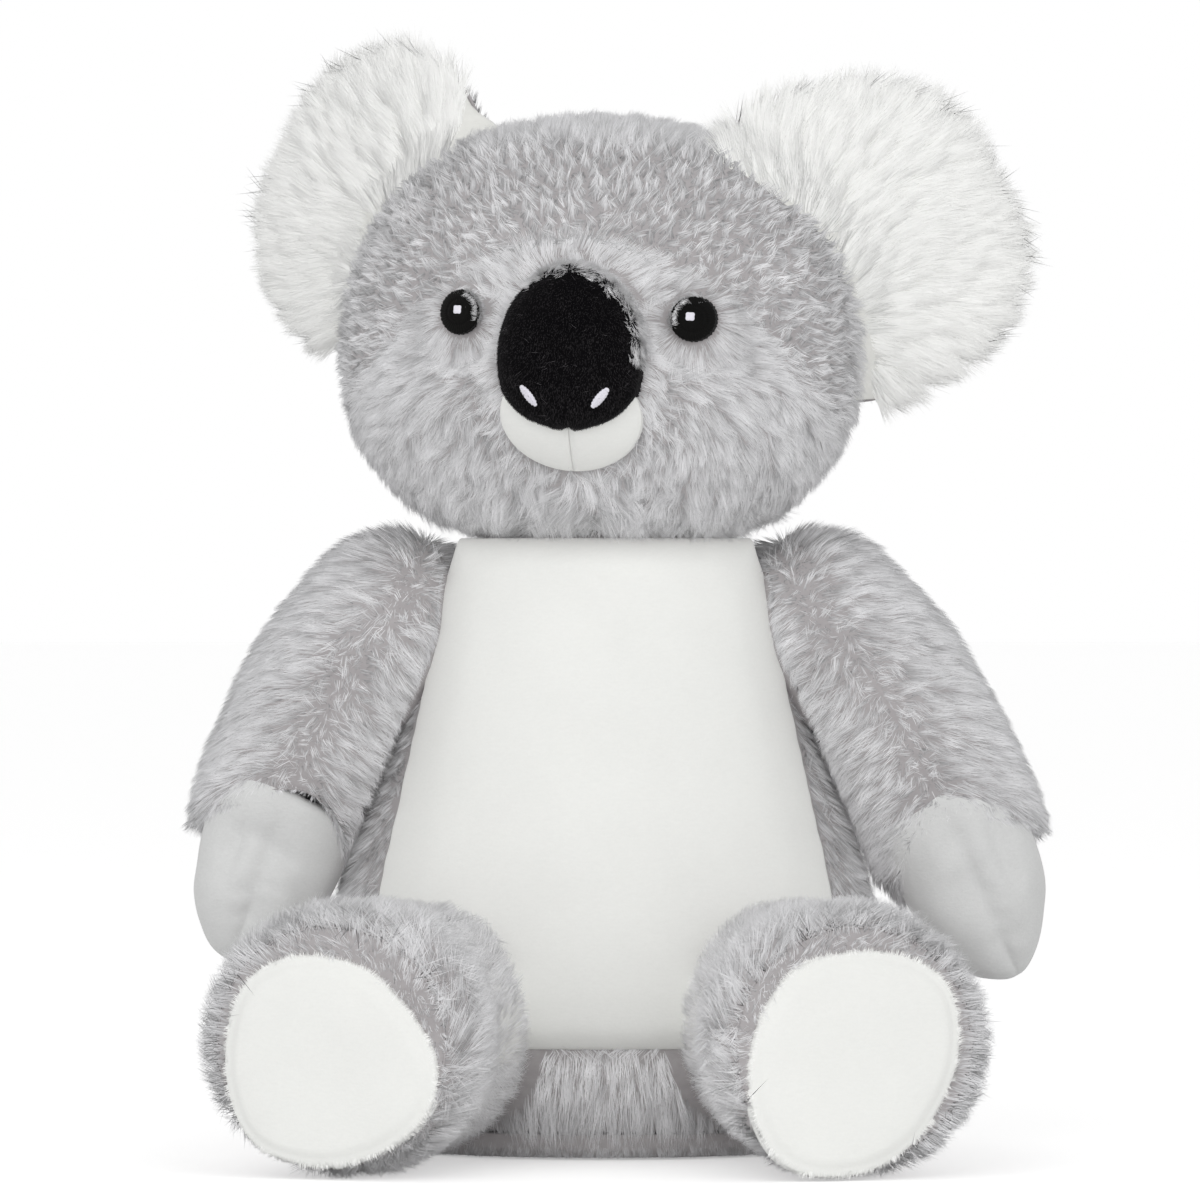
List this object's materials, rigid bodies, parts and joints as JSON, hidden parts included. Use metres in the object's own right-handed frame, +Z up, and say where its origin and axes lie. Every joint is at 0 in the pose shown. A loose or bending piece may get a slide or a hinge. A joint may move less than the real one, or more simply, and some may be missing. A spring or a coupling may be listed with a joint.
{
  "type": "plush koala toy",
  "caption": "Seated plush koala with a blank smooth belly panel, a head that turns, arms and legs that swing at their seams, and a zip with a slider in its seat.",
  "frame": {"origin": "middle of the flat seat that the body rests on, on its front base panel", "axes": "+Z up, the koala faces -Y, and +X is to the right of a person who faces the koala"},
  "size_m": [0.2662, 0.2204, 0.3422],
  "materials": {
    "grey_plush": "long-pile silver-grey plush with darker roots",
    "white_plush": "extra long-pile off-white plush",
    "white_velour": "smooth short-pile off-white velour",
    "grey_velour": "smooth short-pile pale grey velour",
    "black_velour": "short-pile black velour",
    "black_thread": "black embroidery thread, satin stitch",
    "white_thread": "white embroidery thread, satin stitch",
    "stuffing": "polyester filling in its liner",
    "zip_tape": "woven grey zip tape",
    "zip_nylon": "grey nylon zip chain",
    "zip_metal": "satin zinc zip hardware"
  },
  "bodies": {
    "body": {"body_cover": "grey_plush", "belly_panel": "white_velour", "body_pod": "stuffing", "base_front_panel": "grey_plush", "base_rear_panel": "grey_plush", "zip_tape_front": "zip_tape", "zip_tape_rear": "zip_tape", "zip_chain": "zip_nylon", "zip_stop_left": "zip_metal", "zip_stop_right": "zip_metal"},
    "head": {"head_cover": "grey_plush", "head_pod": "stuffing", "ear_left_front": "white_plush", "ear_left_back": "grey_plush", "ear_right_front": "white_plush", "ear_right_back": "grey_plush", "eye_left": "black_thread", "eye_right": "black_thread", "eye_glint_left": "white_thread", "eye_glint_right": "white_thread", "nose": "black_velour", "nostril_left": "white_thread", "nostril_right": "white_thread", "chin_left": "white_velour", "chin_right": "white_velour"},
    "arm_left": {"arm_left_cover": "grey_plush", "arm_left_fill": "stuffing", "paw_left": "grey_velour"},
    "arm_right": {"arm_right_cover": "grey_plush", "arm_right_fill": "stuffing", "paw_right": "grey_velour"},
    "leg_left": {"leg_left_cover": "grey_plush", "leg_left_fill": "stuffing", "sole_left": "white_velour"},
    "leg_right": {"leg_right_cover": "grey_plush", "leg_right_fill": "stuffing", "sole_right": "white_velour"},
    "slider": {"zip_slider": "zip_metal"},
    "pull": {"zip_pull": "zip_metal"}
  },
  "joints": [
    {"name": "neck_turn", "type": "hinge", "parent": "body", "child": "head", "pos_m": [0, 0, 0.202], "axis": [0, 0, 1], "range_deg": [-30, 30]},
    {"name": "shoulder_left_lift", "type": "hinge", "parent": "body", "child": "arm_left", "pos_m": [-0.06568, -0.004, 0.163], "axis": [0, 1, 0], "range_deg": [0, 60]},
    {"name": "shoulder_right_lift", "type": "hinge", "parent": "body", "child": "arm_right", "pos_m": [0.06568, -0.004, 0.163], "axis": [0, -1, 0], "range_deg": [0, 60]},
    {"name": "hip_left_drop", "type": "hinge", "parent": "body", "child": "leg_left", "pos_m": [-0.052, -0.0603, 0.0415], "axis": [1, 0, 0], "range_deg": [-20, 35]},
    {"name": "hip_right_drop", "type": "hinge", "parent": "body", "child": "leg_right", "pos_m": [0.052, -0.0603, 0.0415], "axis": [1, 0, 0], "range_deg": [-20, 35]},
    {"name": "zip_slide", "type": "slide", "parent": "body", "child": "slider", "axis": [-1, 0, 0], "range_m": [0, 0.066]},
    {"name": "zip_pull_swing", "type": "hinge", "parent": "slider", "child": "pull", "pos_m": [0.0335, 0.014, 0.00415], "axis": [0, -1, 0], "range_deg": [0, 100]}
  ]
}
